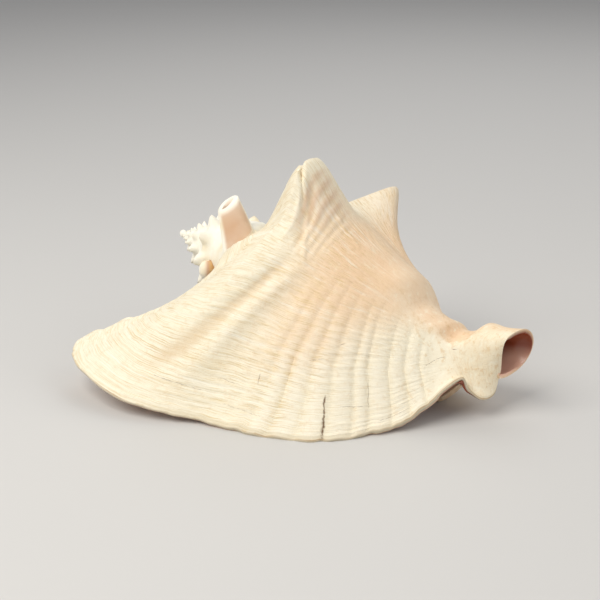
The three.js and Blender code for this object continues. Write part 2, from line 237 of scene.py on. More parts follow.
# Area lights: name, azimuth, elevation, distance, size, power, colour
LIGHTS = [
    ("key", -25, 52, 1.1, 0.8, 10.4, (1, 0.97, 0.92)),
    ("fill", 95, 35, 1.4, 1.2, 5.2, (1, 0.98, 0.95)),
    ("back", 190, 50, 1.4, 1.0, 4.2, (1, 1, 1)),
]
SKY_COLOR = (0.95, 0.96, 1, 1)
SKY_STRENGTH = 0.31
FLOOR_HALF = 3  # half the floor's width, in metres
FLOOR_COLOR = (0.62, 0.61, 0.59, 1)
FLOOR_ROUGHNESS = 0.8

AXIS = (CANAL_END - APEX) / np.linalg.norm(CANAL_END - APEX)
FRONT = np.array([0.0, -1.0, 0.0])
UP = np.cross(FRONT, AXIS)
UP /= np.linalg.norm(UP)


# Curves


def lerp(a, b, s):
    """Value a share of the way from one to another."""
    return a + (b - a) * s


def smooth(lo, hi, x):
    """Smooth step from 0 to 1 between two values."""
    s = np.clip((x - lo) / (hi - lo), 0.0, 1.0)
    return s * s * (3.0 - 2.0 * s)


def band(x, start, full, fading, end):
    """1 in the middle of a stretch, with a smooth rise before it and a smooth fall after it."""
    return smooth(start, full, x) * (1 - smooth(fading, end, x))


def bump(x, centre, width):
    """Bell curve with a height of 1."""
    return np.exp(-(((x - centre) / width) ** 2))


def rolls(x, table):
    """Sum of bell curves, given as rows of height, centre and half width."""
    return sum(height * bump(x, centre, width) for height, centre, width in table)


def unit(v):
    """Vectors of length 1."""
    return v / np.maximum(np.linalg.norm(v, axis=-1, keepdims=True), 1e-9)


def hermite(p, slope_p, q, slope_q, s):
    """Curve between two points with given slopes."""
    s2 = s * s
    s3 = s2 * s
    from_p = p * (2 * s3 - 3 * s2 + 1) + slope_p * (s3 - 2 * s2 + s)
    from_q = q * (3 * s2 - 2 * s3) + slope_q * (s3 - s2)
    return from_p + from_q


def along(table, x):
    """Smooth curve through the rows of a table, whose first column is the place on it."""
    rows = np.array(table, float)
    x = np.asarray(x, float)
    last = len(rows) - 1
    i = np.clip(np.searchsorted(rows[:, 0], x) - 1, 0, last - 1)
    a, b = rows[i], rows[i + 1]
    before, after = rows[np.maximum(i - 1, 0)], rows[np.minimum(i + 2, last)]
    span = (b - a)[..., :1]
    s = np.clip((x[..., None] - a[..., :1]) / span, 0.0, 1.0)
    slope_a = (b - before) / (b - before)[..., :1] * span
    slope_b = (after - a) / (after - a)[..., :1] * span
    return hermite(a, slope_a, b, slope_b, s)[..., 1:]


def spread(*stretches):
    """Even steps over one stretch after another, each given by its ends and its number of steps."""
    parts = [np.linspace(a, b, n, endpoint=False) for a, b, n in stretches]
    return np.concatenate(parts + [[stretches[-1][1]]])


def normals(points):
    """Outward directions at the points of a grid."""
    along_growth = np.gradient(points, axis=0)
    along_line = np.gradient(points, axis=1)
    return unit(np.cross(along_growth, along_line))


def eased(points, share):
    """The grid smoothed along the growth lines, as far as a share says at each point."""
    for _ in range(EASING_ROUNDS):
        beside = (np.roll(points, 1, axis=1) + np.roll(points, -1, axis=1)) / 2
        points = lerp(points, beside, share[..., None])
    return points


# Form of the whorls


def outwards(angle):
    """Direction away from the axis at a growth angle."""
    turned = np.radians(angle)[..., None]
    return np.cos(turned) * UP + np.sin(turned) * FRONT


def place(h, radius, angle):
    """Point at a distance from the apex, a distance from the bent axis and a growth angle."""
    h, radius, angle = np.broadcast_arrays(h, radius, angle)
    a = np.radians(angle)
    lift = along(CANAL_LIFT, h)[..., 0]
    up = radius * np.cos(a) + lift
    return APEX + h[..., None] * AXIS + up[..., None] * UP + (radius * np.sin(a))[..., None] * FRONT


def shoulder(angle):
    """Distance of the shoulder from the apex, and its radius."""
    angle = np.asarray(angle, float)
    first, h, radius = SHOULDER[0]
    share = WHORL_GROWTH ** ((np.minimum(angle, first) - first) / 360.0)
    table = along(SHOULDER, angle)
    early = angle < first
    return np.where(early, h * share, table[..., 0]), np.where(early, radius * share, table[..., 1])


def suture(angle):
    """Where a whorl meets the whorl before it."""
    h, radius = shoulder(np.asarray(angle, float) - 360.0)
    exposed = EXPOSED + SUTURE_DROP * smooth(-90, 0, angle) - SUTURE_CLIMB * smooth(5, 55, angle)
    return h * exposed, radius * SUTURE_RADIUS


def ramp(share, angle):
    """The slightly hollow stretch from the suture to the shoulder."""
    h, radius = shoulder(angle)
    suture_h, suture_radius = suture(angle)
    hollow = RAMP_HOLLOW * radius * np.sin(np.pi * share)
    return lerp(suture_h, h, share), lerp(suture_radius, radius, share) - hollow


def rim(angle):
    """Distance of the canal's slanted rim from the apex."""
    return LENGTH - CANAL_SLANT * np.sin(np.radians(angle))


def body_radius(h, angle):
    """Radius between the shoulder and the canal's rim."""
    shoulder_h, radius = shoulder(angle)
    share = (h - shoulder_h) / (rim(angle) - shoulder_h)
    return lerp(CANAL_RADIUS, radius, along(BODY_TAPER, share)[..., 0])


def coil(t, angle):
    """The last whorl without its lip, spines and relief."""
    sunk = ROOT[0] * (1 - smooth(CORE_END - OVERLAP, CORE_END, angle))
    share = np.clip(t / SHOULDER_T, 0, 1)
    ramp_h, ramp_radius = ramp(share, angle)
    root = lerp(*ROOT, smooth(0, 40, angle)) * (1 - share)
    body_h = lerp(shoulder(angle)[0], rim(angle), np.clip((t - SHOULDER_T) / (1 - SHOULDER_T), 0, 1))
    on_ramp = t < SHOULDER_T
    h = np.where(on_ramp, ramp_h, body_h)
    radius = np.where(on_ramp, ramp_radius - root, body_radius(body_h, angle))
    return place(h, radius - sunk, angle)


def swell(t, share):
    """How far the lip's rear edge swells near the spire and hollows near the wing, at a share of the way."""
    across = 1 - smooth(0.12, 0.28, t)
    return across * smooth(0, 0.2, share) * rolls(share, SWELL)


def whorl(t, angle):
    """The last whorl, which flares out into the lip."""
    start_angle = lerp(*LIP_START, smooth(0, 0.2, t))
    base = coil(t, np.minimum(angle, start_angle))
    start = coil(t, start_angle)
    end = along(MARGIN, t)
    chord = end - start
    reach = np.linalg.norm(chord, axis=-1, keepdims=True)
    pull = lerp(WING_PULL, LIP_PULL[0], smooth(0.05, 0.4, t))[..., None]
    leaving = unit(start - coil(t, start_angle - 1)) * reach * pull
    arriving = chord.copy()
    arriving[..., 2] *= lerp(*FLARE, smooth(0, 0.16, t))
    arriving = unit(arriving) * reach * LIP_PULL[1]
    s = np.clip((angle - start_angle) / (LIP_END - start_angle), 0, 1)[..., None]
    lip = hermite(start, leaving, end, arriving, s) + swell(t[..., None], s) * UP
    return np.where((angle <= start_angle)[..., None], base, lip)


# Spines, folds and relief of the last whorl


def spines(t, angle):
    """How far the shoulder's spines lift each point."""
    added = np.zeros(t.shape + (3,))
    for at, reach, lean, width, run, rise, top, across, down in SPINES:
        body_side = np.exp(-((np.maximum(t - SHOULDER_T, 0) / run) ** down))
        height = smooth(rise, top, t) * body_side * np.exp(-(np.abs((angle - at) / width) ** across))
        a = math.radians(at)
        way = reach * (math.cos(a) * UP + math.sin(a) * FRONT) - lean * AXIS
        added += height[..., None] * way
    return added


def folds(t, angle):
    """Rounded folds with sharp valleys, fanning out to the lip's margin."""
    slanted = t - FOLD_SLANT * np.maximum(FOLD_STRAIGHT - angle, 0)
    place_in_row = np.interp(slanted, VALLEYS, np.arange(len(VALLEYS)))
    share = place_in_row - np.floor(place_in_row)
    roll = (4 * share * (1 - share)) ** FOLD_ROUNDNESS
    ends = band(slanted, VALLEYS[0], VALLEYS[0] + 0.1, VALLEYS[-1] - 0.05, VALLEYS[-1])
    return FOLD_HEIGHT * roll * ends * smooth(30, 95, angle)


def wing_rolls(t, angle):
    """The broad ridge and its hollows from the main spine to the wing."""
    course = np.interp(angle, *zip(*WING_COURSE))
    return band(angle, *WING_REACH) * rolls(t - course, WING_ROLLS)


def tip_ribs(t, angle):
    """The ribs and the hollow below the main spine's tip, and the rib down its side."""
    added = np.zeros(t.shape)
    for height, at, at_angle, slant, width, reach in TIP_RIBS:
        added += height * band(angle, *reach) * bump(t, at + slant * (angle - at_angle), width)
    height, at_angle, at, slant, width = SIDE_RIB
    side = height * bump(angle, at_angle + slant * (t - at), width) * band(t, *SIDE_RIB_REACH)
    return added + side


def tip_crease(t, angle):
    """The crease beside the main spine's tip, and the swellings on its two sides."""
    off = angle - CREASE_AT[0] - CREASE_SLANT * (t - CREASE_AT[1])
    crease = CREASE_DEPTH * bump(off, 0, CREASE_WIDTH) * band(t, *CREASE_REACH)
    lobe = LOBE_HEIGHT * smooth(0, 3, off) * (1 - smooth(26, 40, angle)) * bump(t, 0.24, 0.05)
    dome = DOME_HEIGHT * smooth(0, -4, off) * smooth(2, 9, angle) * bump(t, 0.25, 0.022)
    return lobe + dome - crease


def fan(t, angle):
    """Wave of the fine ribs that fan out below the main spine's tip, from -1 to 1."""
    return np.sin(2 * np.pi / FAN_STEP * (t - FAN_SLANT * angle))


def fan_ribs(t, angle):
    """The fine ribs themselves."""
    return FAN_HEIGHT * fan(t, angle) * band(angle, 4, 14, 34, 48) * band(t, 0.29, 0.31, 0.38, 0.43)


def ripples(t, angle):
    """Low steps that the lip's edge left as it grew."""
    wander = 1.5 * np.sin(21 * t) + 0.9 * np.sin(47 * t + 1)
    steps = np.sin(1.9 * (angle + wander))
    broad_steps = 0.8 * np.sin(0.83 * (angle + 2 * wander) + 2)
    fine_steps = 0.5 * np.sin(3.7 * angle + 9 * t)
    strength = RIPPLE_HEIGHT[0] + RIPPLE_HEIGHT[1] * np.sin(0.13 * angle + 19 * t)
    return strength * (steps + broad_steps + fine_steps) * smooth(0.02, 0.1, t)


def whorl_relief(t, angle, pace):
    """How far the last whorl's skin rises. The ripples fade where the growth lines crowd together."""
    forms = folds(t, angle) + wing_rolls(t, angle) + tip_ribs(t, angle)
    forms += tip_crease(t, angle) + fan_ribs(t, angle)
    return forms + ripples(t, angle) * smooth(0.2, 0.8, pace)


def waists(t, angle):
    """How far the whorl draws in before and behind the ledges at the neck of the canal."""
    return band(angle, *NECK_REACH) * rolls(t, NECK_ROLLS)


def ragged(t, angle):
    """How far the lip's worn margin stands out or is chipped."""
    waves = sum(height * np.sin(2 * np.pi * t / length + phase) for height, length, phase in EDGE_WAVES)
    return (waves - rolls(t, CHIPS)) * band(t, 0.1, 0.2, 0.72, 0.8) * smooth(104, LIP_END, angle)


def scallops(t, angle):
    """Small waves along the lip's rear edge."""
    reach = (1 - smooth(0, 0.1, t)) * band(angle, 72, 86, 112, 122)
    return SCALLOP_HEIGHT * np.sin(angle / SCALLOP_LENGTH) * reach


def dent(angle):
    """How far the whorl under the broken spine is sunk behind it."""
    depth, at, width = DENT
    return depth * bump(angle, at, width)


def stains_and_shade(t, angle):
    """Where the main spine's front is tan with painted shade in the hollow below its tip, its back lobe is
    flushed and the back spine is tan.
    """
    # the main spine's front: tan, with painted shade of the hollow below its tip
    front = 0.6 * band(t, 0.27, 0.29, 0.33, 0.4) * band(angle, -6, 8, 24, 40)
    front = front * (0.75 + 0.35 * fan(t, angle))
    back = 0.04 * band(t, 0.16, 0.2, 0.25, 0.265) * band(angle, 18, 22, 28, 36)
    back_spine = 0.3 * bump(angle, -46, 14) * band(t, 0.18, 0.27, 0.36, 0.46)
    return front + back + back_spine


# Last whorl as an outer and an inner skin


def whorl_grid():
    """Growth angle and t at each point of the outer skin, up to the rounding of the margin."""
    lip = (LIP_START[1], LIP_END - EDGE_ROUNDING, 156)
    angles = spread((CORE_END - OVERLAP, -20, 80), (-20, LIP_START[1], 46), lip)
    shares = spread((0, SHOULDER_T, 60), (SHOULDER_T, 0.78, 120), (0.78, 1, 44))
    return np.meshgrid(angles, shares, indexing="ij")


def whorl_base(t, angle):
    """The last whorl with its neck, its worn margin and its scalloped rear edge."""
    neck = band(t, 0.68, 0.74, 0.88, 0.94) * band(angle, 20, 40, 112, 122)
    base = eased(whorl(t, angle), 0.5 * neck)
    base = base - waists(t, angle)[..., None] * normals(base)
    sunk = SUTURE_DENT * dent(angle - 360) * (1 - smooth(0.02, 0.13, t))
    base = base - sunk[..., None] * outwards(angle)
    base = base + ragged(t, angle)[..., None] * unit(base[-1] - base[-2])
    return base + scallops(t, angle)[..., None] * UP


def whorl_wall(t, angle):
    """Thickness of the wall, which is thinner at the lip's margin and at the canal's rim."""
    near_edge = np.maximum(smooth(LIP_END - 25, LIP_END, angle), 1 - smooth(0, 0.15, t))
    return lerp(WALL, EDGE_WALL, near_edge) * lerp(1, RIM_WALL, smooth(0.9, 1, t))


def with_edge_rows(grid):
    """A grid with its last row repeated for the rounding of the margin."""
    return np.concatenate([grid, np.repeat(grid[-1:], len(EDGE_TURNS), axis=0)])


def on_both_skins(grid):
    """Values on the outer skin, then on the inner skin, which has every other row and column."""
    return np.concatenate([grid.ravel(), grid[::2, ::2].ravel()])


def on_outer_skin(grid):
    """Values on the outer skin, then zeros on the inner skin."""
    return np.concatenate([grid.ravel(), np.zeros(grid[::2, ::2].size)])


def skin_faces(ids, flip):
    """Faces of one skin, from the grid of its points' numbers."""
    quads = np.stack([ids[:-1, :-1], ids[1:, :-1], ids[1:, 1:], ids[:-1, 1:]], axis=-1).reshape(-1, 4)
    return (quads[:, ::-1] if flip else quads).tolist()


def edge_faces(fine, coarse):
    """Faces between a border of the outer skin and the same border of the inner skin, of half the steps."""
    out = []
    for k in range(len(coarse) - 1):
        a, b, c = fine[2 * k], fine[2 * k + 1], fine[2 * k + 2]
        d, e = coarse[k], coarse[k + 1]
        out += [(a, b, d), (b, e, d), (b, c, e)]
    return out


def whorl_faces(outer_shape, inner_shape):
    """Faces of both skins and of the four borders between them."""
    out_id = np.arange(math.prod(outer_shape)).reshape(outer_shape)
    in_id = out_id.size + np.arange(math.prod(inner_shape)).reshape(inner_shape)
    faces = skin_faces(out_id, False) + skin_faces(in_id, True)
    faces += edge_faces(out_id[::-1, 0], in_id[::-1, 0])
    faces += edge_faces(out_id[:, -1], in_id[:, -1])
    faces += edge_faces(out_id[0, :], in_id[0, :])
    faces += edge_faces(out_id[-1, ::-1], in_id[-1, ::-1])
    return faces


def last_whorl():
    """The hollow last whorl with its lip, as points, faces and the fields that the material uses."""
    angle, t = whorl_grid()
    base = whorl_base(t, angle)
    under_spines = band(t, 0.14, 0.2, 0.3, 0.36) * (1 - smooth(60, 100, angle))
    lining = eased(base, 0.5 * under_spines)
    bare = base + spines(t, angle)
    pace = np.linalg.norm(np.gradient(bare, axis=0), axis=-1) / np.gradient(angle, axis=0)
    relief = whorl_relief(t, angle, pace)
    wall = whorl_wall(t, angle)
    onward = unit(base[-1] - base[-2])
    turn = np.radians(np.append(np.zeros(len(angle)), EDGE_TURNS))[:, None]
    in_normal, out_normal = with_edge_rows(normals(lining)), with_edge_rows(normals(bare))
    lining, bare = with_edge_rows(lining), with_edge_rows(bare)
    angle, t, relief, wall, pace = map(with_edge_rows, (angle, t, relief, wall, pace))
    half = wall / 2
    sink = half * (1 - np.sqrt(np.cos(turn)))
    push = (half * np.sqrt(np.sin(turn)))[..., None] * onward
    outer = bare + (relief * np.cos(turn) - sink)[..., None] * out_normal + push
    inner = (lining - (wall - sink)[..., None] * in_normal + push)[::2, ::2]
    points = np.concatenate([outer.reshape(-1, 3), inner.reshape(-1, 3)])
    fields = {
        "growth": on_both_skins(angle),
        "line": on_both_skins(t),
        "inside": 1 - on_outer_skin(np.ones(angle.shape)),
        "spire": np.zeros(len(points)),
        "relief": on_outer_skin(relief),
        "edge": on_both_skins(np.broadcast_to(np.sin(turn), angle.shape)),
        "pace": on_both_skins(pace),
        "stain": on_outer_skin(stains_and_shade(t, angle)),
    }
    return points, whorl_faces(outer.shape[:2], inner.shape[:2]), fields


def plain_fields(count, stain=0.0):
    """Fields of a piece that has the spire's plain colour apart from its stained places and its painted
    shade.
    """
    zero = np.zeros(count)
    fields = {"growth": zero, "line": zero, "inside": zero, "spire": zero + 1, "relief": zero, "edge": zero}
    return fields | {"pace": zero + 1, "stain": zero + stain}


# Inner whorls and columella


def knob(angle):
    """Height of the spire's knobs along the shoulder."""
    radius = shoulder(angle)[1]
    number = np.round((KNOB_FIRST - angle) / KNOB_STEP)
    off = (angle - KNOB_FIRST + number * KNOB_STEP) / KNOB_STEP
    reach = np.where(number < LOW_KNOBS, KNOB_REACH[0], KNOB_REACH[1])
    height = reach * radius * np.minimum(1, 1.2 * np.cos(np.pi * off) ** 4)
    return np.where(number < 0, 0.0, height)


def columella(share, angle):
    """The pillar in the middle, which tapers from the last inner whorl to its end."""
    h, radius = shoulder(angle)
    height = lerp(h * EXPOSED, COLUMELLA_END, share)
    slim = lerp(COLUMELLA_RADIUS, radius * SUTURE_RADIUS - SUTURE_DENT * dent(angle), (1 - share) ** 1.7)
    meeting = smooth(CORE_END - 90, CORE_END - 12, angle)
    width = lerp(slim, body_radius(height, angle), meeting) - CORE_SKIN
    width = width * np.sqrt(1 - share**3)
    shift = COLUMELLA_SHIFT * smooth(0.3, 1, share) * (1 - meeting)
    down, back = COLUMELLA_SIDE
    return place(height, width, angle) - shift[..., None] * (down * UP + back * FRONT)


def spire_lines(angle):
    """Growth lines of the inner whorls, each from its suture over the knobs to the next suture."""
    height = knob(angle)
    h, radius = shoulder(angle)
    lines = []
    for share in np.linspace(0, 1, CORE_RAMP_ROWS, endpoint=False):
        ramp_h, ramp_radius = ramp(share, angle)
        lift = smooth(0, 1, share) ** 1.5
        rise = height - CORE_SKIN - dent(angle)
        lines.append(place(ramp_h - KNOB_LEAN * height * lift, ramp_radius + rise * lift, angle))
    for share in np.linspace(0, 1, CORE_SIDE_ROWS, endpoint=False):
        side_h = lerp(h, h * EXPOSED, share)
        drop = 1 - smooth(0, 1, share)
        sunk = CORE_SKIN + lerp(1, SUTURE_DENT, share) * dent(angle)
        side_radius = lerp(radius, radius * SUTURE_RADIUS, share) - sunk
        lines.append(place(side_h - KNOB_LEAN * height * drop, side_radius + height * drop, angle))
    lines.append(columella(np.zeros_like(angle), angle))
    return np.stack(lines, axis=1)


def strip_faces(outer, inner):
    """Faces between two borders with different numbers of points."""
    faces = []
    i = 0
    steps = len(outer) - 1
    for j in range(steps):
        faces.append([outer[j + 1], outer[j], inner[i]])
        wanted = round((j + 1) / steps * (len(inner) - 1))
        while i < wanted:
            faces.append([outer[j + 1], inner[i], inner[i + 1]])
            i += 1
    return faces


def core_faces(rows, suture_row, apex):
    """Faces of the inner whorls, from the point numbers of each growth line."""
    faces = []
    for here, there in zip(rows, rows[1:]):
        for i in range(min(len(here), len(there)) - 1):
            quad = [here[i], there[i], there[i + 1], here[i + 1]]
            faces.append(list(dict.fromkeys(quad)))
    for j in range(CORE_TURN_STEPS):
        faces.append([apex, rows[j + 1][0], rows[j][0]])
    for i in range(suture_row):
        faces.append([apex, rows[0][i], rows[0][i + 1]])
    faces += strip_faces(rows[-1], rows[-1 - CORE_TURN_STEPS][suture_row:])
    return [face for face in faces if len(set(face)) == len(face)]


def inner_whorls():
    """The spire with its knobs and the columella, as one closed solid."""
    columns = SPIRE_TURNS * CORE_TURN_STEPS + round((CORE_END + 360) / 360 * CORE_TURN_STEPS)
    angle = CORE_END - (columns - np.arange(columns + 1)) * 360 / CORE_TURN_STEPS
    grid = spire_lines(angle)
    suture_row = grid.shape[1] - 1
    # a growth line starts on the suture of the turn before it, and in the first turn on a row of its own
    ids = np.zeros((columns + 1, suture_row + 1), int)
    ids[:, 1:] = np.arange((columns + 1) * suture_row).reshape(columns + 1, suture_row)
    ids[CORE_TURN_STEPS:, 0] = ids[:-CORE_TURN_STEPS, suture_row]
    ids[:CORE_TURN_STEPS, 0] = (columns + 1) * suture_row + np.arange(CORE_TURN_STEPS)
    # the growth lines of the last turn go on along the columella to its tip
    tail = np.linspace(0, 1, CORE_END_ROWS + 1)[1:-1]
    last_turn = angle[-1 - CORE_TURN_STEPS :]
    a, s = np.meshgrid(last_turn, tail, indexing="ij")
    pillar = columella(s, a)
    tip = ids.max() + 1
    pillar_ids = tip + 1 + np.arange(s.size).reshape(s.shape)
    apex = tip + 1 + s.size
    rows = ids.tolist()
    for row, further in zip(rows[-1 - CORE_TURN_STEPS :], pillar_ids.tolist()):
        row += further + [tip]
    end = columella(np.array([1.0]), np.array([CORE_END]))
    parts = [grid[:, 1:].reshape(-1, 3), grid[:CORE_TURN_STEPS, 0], end, pillar.reshape(-1, 3), APEX[None]]
    points = np.concatenate(parts)
    starts = [np.repeat(angle, suture_row), angle[:CORE_TURN_STEPS], [CORE_END]]
    growth = np.concatenate(starts + [np.repeat(last_turn, len(tail)), angle[:1]])
    inside = np.zeros(len(points))
    inside[tip] = 1
    inside[tip + 1 : apex] = np.tile(smooth(0.06, 0.15, tail), len(last_turn))
    spire = 1 - smooth(CORE_END - 110, CORE_END - 20, growth)
    spire[tip + 1 : apex] = 0
    fields = plain_fields(len(points)) | {"growth": growth, "inside": inside, "spire": spire}
    return points, core_faces(rows, suture_row, apex), fields


# Stump and round knobs


def picture_axes():
    """Unit vectors to the right, upwards and towards the viewer, who faces the lip's side."""
    a, e = math.radians(AZIMUTH), math.radians(ELEVATION)
    right = np.array([math.cos(a), math.sin(a), 0])
    up = np.array([-math.sin(a) * math.sin(e), math.cos(a) * math.sin(e), math.cos(e)])
    return right, up, np.cross(right, up)


def tube_faces(rings, steps):
    """Faces of a closed tube: rings of points, and a last point in the middle of each end."""
    faces = []
    bottom, top = rings * steps, rings * steps + 1
    last = (rings - 1) * steps
    for i in range(steps):
        j = (i + 1) % steps
        for k in range(rings - 1):
            faces.append([k * steps + i, (k + 1) * steps + i, (k + 1) * steps + j, k * steps + j])
        faces.append([bottom, i, j])
        faces.append([top, last + j, last + i])
    return faces


def squared(wave):
    """A sine wave changed so that the ring it draws is squarer than a circle."""
    return np.sign(wave) * np.abs(wave) ** STUMP_SQUARENESS


def hollow_spine():
    """The stump of a broken spine on the whorl before the last, open at its slanted top."""
    right, up, near = picture_axes()
    foot = place(*(np.array(value) for value in STUMP_FOOT)) + STUMP_NEAR * near
    turn = np.linspace(0, 2 * np.pi, STUMP_STEPS, endpoint=False)
    x, z = squared(np.cos(turn)), squared(np.sin(turn))
    front = smooth(-0.8, -0.45, np.cos(turn)) * smooth(-0.2, 0.25, np.sin(turn))
    rings = []
    stain = []
    for aside, high, wide, deep, skew, tan_and_shade in STUMP_RINGS:
        rise = high + STUMP_RISE[0] * wide * x + STUMP_RISE[1] * deep * z
        sideways = aside + wide * x - skew * z
        rings.append(foot + sideways[:, None] * right + (deep * z)[:, None] * near + rise[:, None] * up)
        # wide rings are tan on the front face; the narrow rings down the hole get painted shade all round,
        # darker further in
        stain.append(tan_and_shade * (front if wide > HOLE_WIDTH else np.ones(STUMP_STEPS)))
    points = np.concatenate(rings + [rings[0].mean(0)[None], rings[-1].mean(0)[None]])
    # the middle of the hole's bottom gets full painted shade
    stain = np.concatenate(stain + [[0, 1]])
    return points, tube_faces(len(STUMP_RINGS), STUMP_STEPS), plain_fields(len(points), stain)


def bead(foot, offset, half_width, half_height, stain_from):
    """A round knob of the spire, stained on its right side from a given share of its width on."""
    right, up, near = picture_axes()
    centre = foot + offset[0] * right + offset[1] * up + offset[2] * near
    turn = np.linspace(0, 2 * np.pi, BEAD_STEPS, endpoint=False)
    lifts = np.linspace(-1, 1, BEAD_RINGS + 2)[1:-1]
    tilt = np.arcsin(lifts)
    x = np.cos(tilt)[:, None] * np.cos(turn)
    z = np.cos(tilt)[:, None] * np.sin(turn)
    y = lifts[:, None] + 0 * x
    level = (half_width * x)[..., None] * right + (half_width * z)[..., None] * near
    points = level + (half_height * y)[..., None] * up
    points = np.concatenate([points.reshape(-1, 3), [-half_height * up, half_height * up]]) + centre
    stain = 2 * smooth(stain_from, stain_from + 1.1, np.concatenate([x.ravel(), [0, 0]]))
    return points, tube_faces(BEAD_RINGS, BEAD_STEPS), plain_fields(len(points), stain)


# One closed mesh


def mesh_object(name, points, faces, fields):
    """An object from points in millimetres, with a value of each field at each point."""
    mesh = bpy.data.meshes.new(name)
    mesh.from_pydata(((points + SHIFT) / 1000).tolist(), [], faces)
    mesh.update()
    for field, values in fields.items():
        layer = mesh.attributes.new(field, "FLOAT", "POINT")
        layer.data.foreach_set("value", np.asarray(values, np.float32))
    obj = bpy.data.objects.new(name, mesh)
    bpy.context.scene.collection.objects.link(obj)
    return obj


def boolean(obj, other, operation):
    """Joins another object to one, or cuts it away, and removes the other."""
    modifier = obj.modifiers.new(operation, "BOOLEAN")
    modifier.operation = operation
    modifier.solver = "MANIFOLD"
    modifier.object = other
    graph = bpy.context.evaluated_depsgraph_get()
    mesh = bpy.data.meshes.new_from_object(obj.evaluated_get(graph))
    obj.modifiers.clear()
    obj.data = mesh
    bpy.data.objects.remove(other)


def below_floor():
    """A block under the resting surface, which wears the shell flat where it lies."""
    x, y, z = 400, 400, 50
    corners = np.array([(i * x, j * y, k * z - z) for i in (-1, 1) for j in (-1, 1) for k in (0, 1)], float)
    quads = [(0, 1, 3, 2), (4, 6, 7, 5), (0, 4, 5, 1), (2, 3, 7, 6), (0, 2, 6, 4), (1, 5, 7, 3)]
    return mesh_object("below", corners - SHIFT, quads, {})


def settle_fields(mesh, names):
    """Gives each vertex that joining the pieces made the values of the nearest vertex that has them."""
    count = len(mesh.vertices)
    values = {name: np.zeros(count, np.float32) for name in names}
    for name in names:
        mesh.attributes[name].data.foreach_get("value", values[name])
    known = np.flatnonzero(values["known"] > 0.5)
    tree = KDTree(len(known))
    for k in known:
        tree.insert(mesh.vertices[k].co, k)
    tree.balance()
    for k in np.flatnonzero(values["known"] <= 0.5):
        nearest = tree.find(mesh.vertices[k].co)[1]
        for name in names:
            values[name][k] = values[name][nearest]
    for name in names:
        mesh.attributes[name].data.foreach_set("value", values[name])


def shell_object():
    """The whole shell as one closed mesh."""
    beads = [bead(APEX, *APEX_BEAD), bead(STAINED_KNOB_FOOT, *STAINED_KNOB)]
    pieces = [last_whorl(), inner_whorls(), hollow_spine()] + beads
    for points, _, fields in pieces:
        fields["known"] = np.ones(len(points))
    obj = mesh_object("conch", *pieces[0])
    for piece in pieces[1:]:
        boolean(obj, mesh_object("grown", *piece), "UNION")
    boolean(obj, below_floor(), "DIFFERENCE")
    settle_fields(obj.data, list(pieces[0][2]))
    obj.data.shade_smooth()
    obj.data.set_sharp_from_angle(angle=math.radians(50))
    return obj


# Material


def linear(code):
    """Linear colour of a hex code."""
    values = [int(code[k : k + 2], 16) / 255 for k in (0, 2, 4)]
    return tuple(v / 12.92 if v <= 0.04045 else ((v + 0.055) / 1.055) ** 2.4 for v in values) + (1,)


CREAM = linear("FBF4DC")
BLUSH = linear("F3CBA2")
STREAK = linear("E6CB94")
FINE_LINE = linear("DABF82")
THREAD = linear("D2B474")
PALE = linear("FFFBEC")
# painted highlight for raised crests, painted shade for hollows
PAINTED_CREST_HIGHLIGHT = linear("FFF8E6")
PAINTED_HOLLOW_SHADE = linear("DDBE92")
SPIRE_PATCH = linear("F5E6C2")
# tan of real stains, also used as painted shade on the main spine's front and in the stump's hole
TAN_STAIN_AND_SHADE = linear("D2AB89")
YELLOW_STAIN = linear("D9AE72")
NECK = linear("F8E0B6")
NECK_RING = linear("DDB57A")
DARK_SPECKLE = linear("DDB77F")
PALE_SPECKLE = linear("FFF8E2")
# painted shade for the face of the lip's margin
PAINTED_EDGE_FACE_SHADE = linear("D4CAB4")
WORN_EDGE = linear("D6C8A8")
EDGE_DIRT = linear("A8804C")
LIP_LINING = linear("F2C9A8")
THROAT = linear("D98C74")
# deeper red with painted shade far down the throat; painted shade and painted light for the canal's upper
# and lower sides
DEEP_THROAT_RED_AND_SHADE = linear("9E4A33")
CANAL_SHADED_LINING = linear("95462A")
CANAL_LIT_LINING = linear("F2BFA6")
CRACK = linear("6B4A26")

# Cracks and dirt in the lip: t and growth angle at both ends, half width in millimetres, strength
CRACKS = [
    (0.513, 125, 0.506, 98, 0.55, 0.95),
    (0.5135, 125, 0.509, 112, 1.1, 0.6),
    (0.396, 94, 0.4, 99, 0.35, 0.7),
    (0.522, 74.5, 0.534, 73.5, 0.4, 0.7),
    (0.74, 86, 0.775, 80, 0.4, 0.8),
    (0.775, 79, 0.812, 72.5, 0.4, 0.8),
    (0.586, 90, 0.584, 106, 0.35, 0.55),
    (0.53, 103.5, 0.588, 105.5, 0.35, 0.5),
    (0.604, 116.5, 0.698, 113.5, 0.35, 0.6),
    (0.47, 84, 0.495, 82, 0.3, 0.45),
    (0.33, 101, 0.37, 101.5, 0.3, 0.4),
    (0.25, 107, 0.32, 108, 0.3, 0.45),
    (0.36, 112, 0.43, 113.5, 0.3, 0.4),
]
MM_PER_T = 255  # on the lip, along a growth line
MM_PER_DEGREE = 0.95  # on the lip, along the growth
BUMP_STRENGTH = 0.6
BUMP_DISTANCE = 0.001  # in metres
LINING_ROUGHNESS = 0.22


